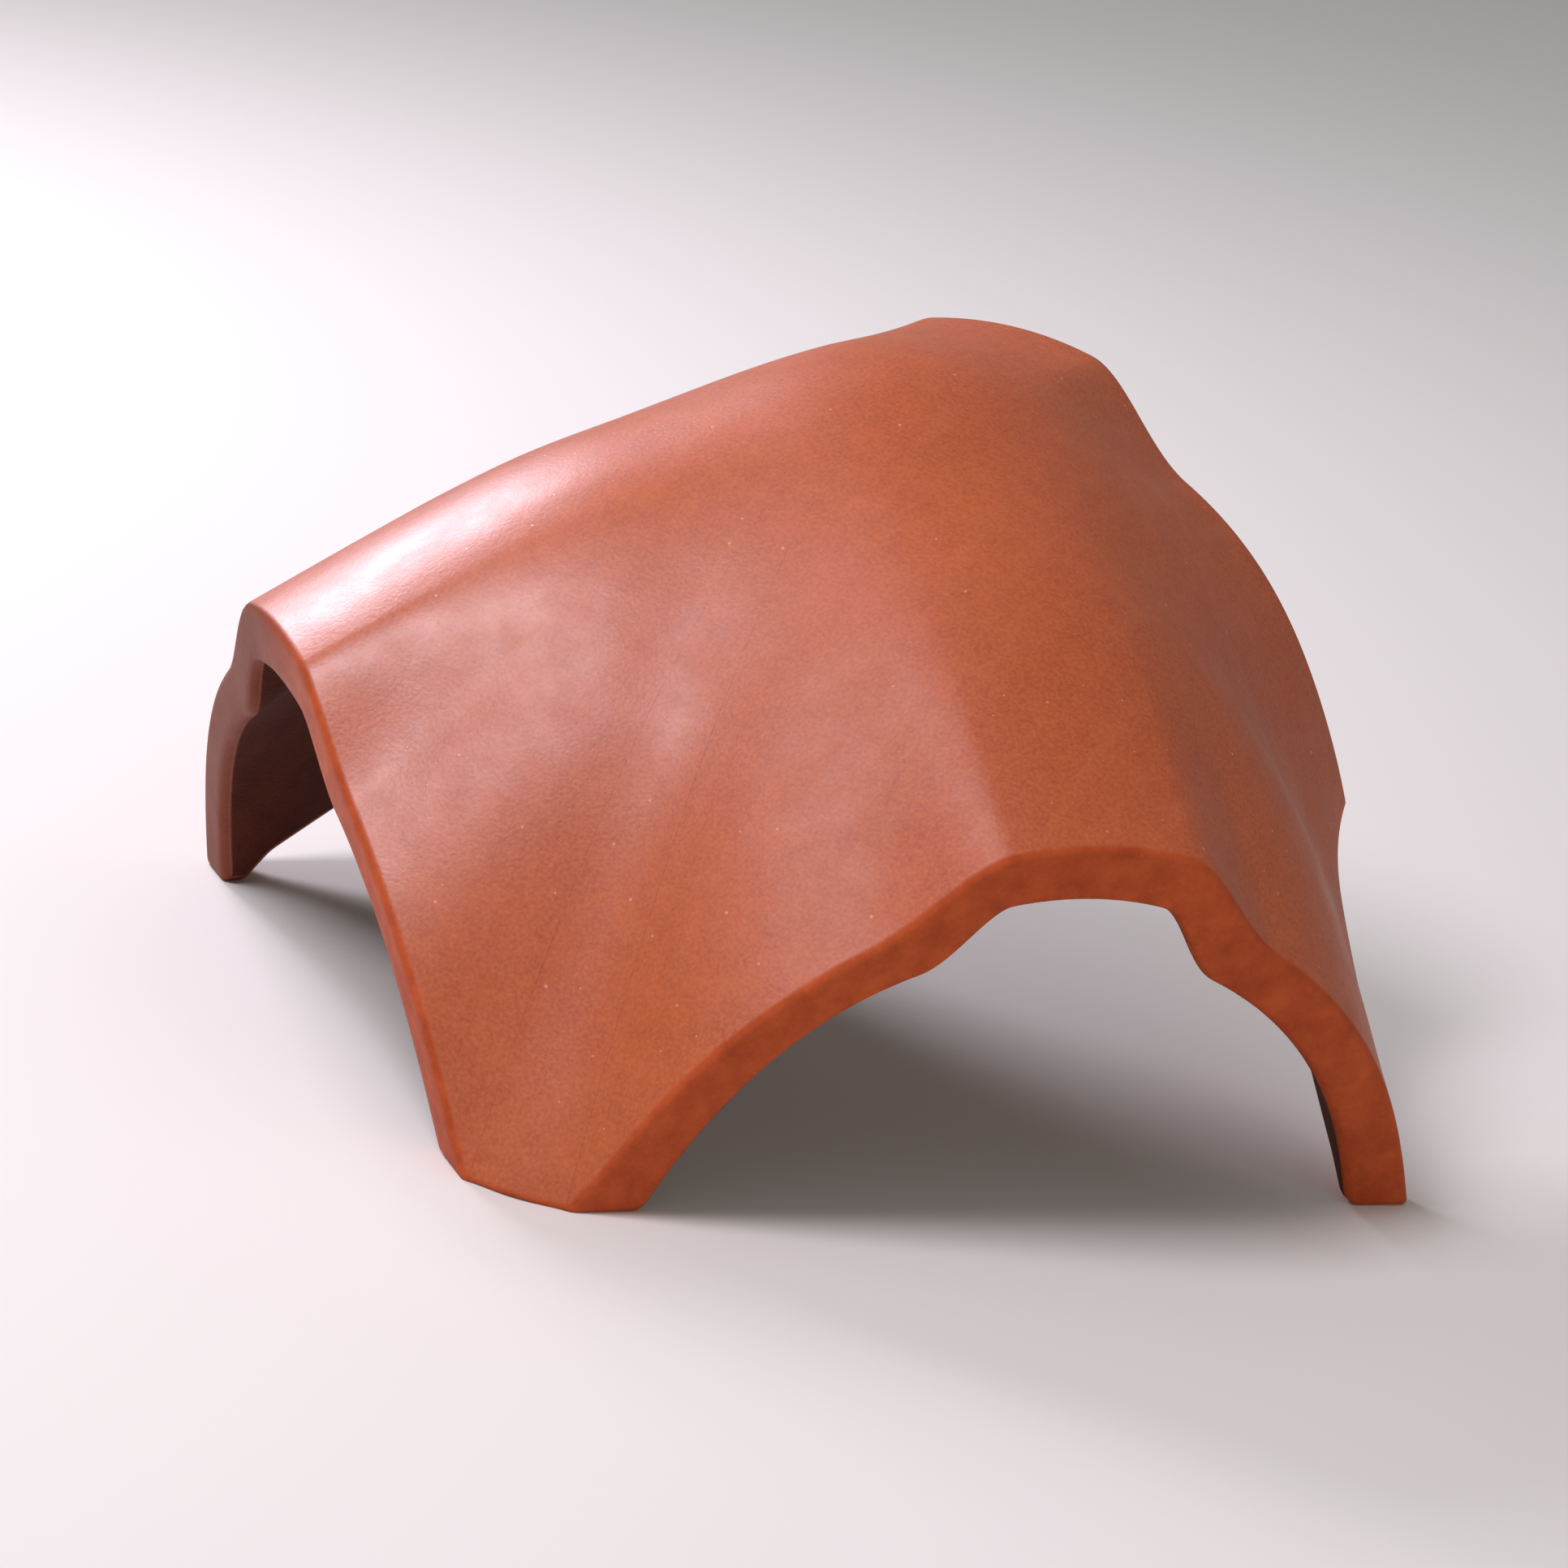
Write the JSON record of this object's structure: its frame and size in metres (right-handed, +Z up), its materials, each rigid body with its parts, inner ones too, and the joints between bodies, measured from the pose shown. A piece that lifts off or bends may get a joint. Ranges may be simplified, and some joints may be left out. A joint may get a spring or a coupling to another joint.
{
  "type": "ridge junction tile",
  "caption": "Hollow fired-clay junction tile where two sloping hips meet a level ridge: domed crown, rolled arched mouths, open underside.",
  "frame": {"origin": "on the floor under the middle of the tile's box", "axes": "+Z up from the feet, +Y along the level ridge arm, out of its mouth; the hips leave at 45 degrees each side of -Y"},
  "size_m": [0.3894, 0.281, 0.2008],
  "materials": {
    "fired_clay": "matt unglazed terracotta"
  },
  "bodies": {
    "root": {"ridge_junction_tile": "fired_clay"}
  },
  "joints": []
}
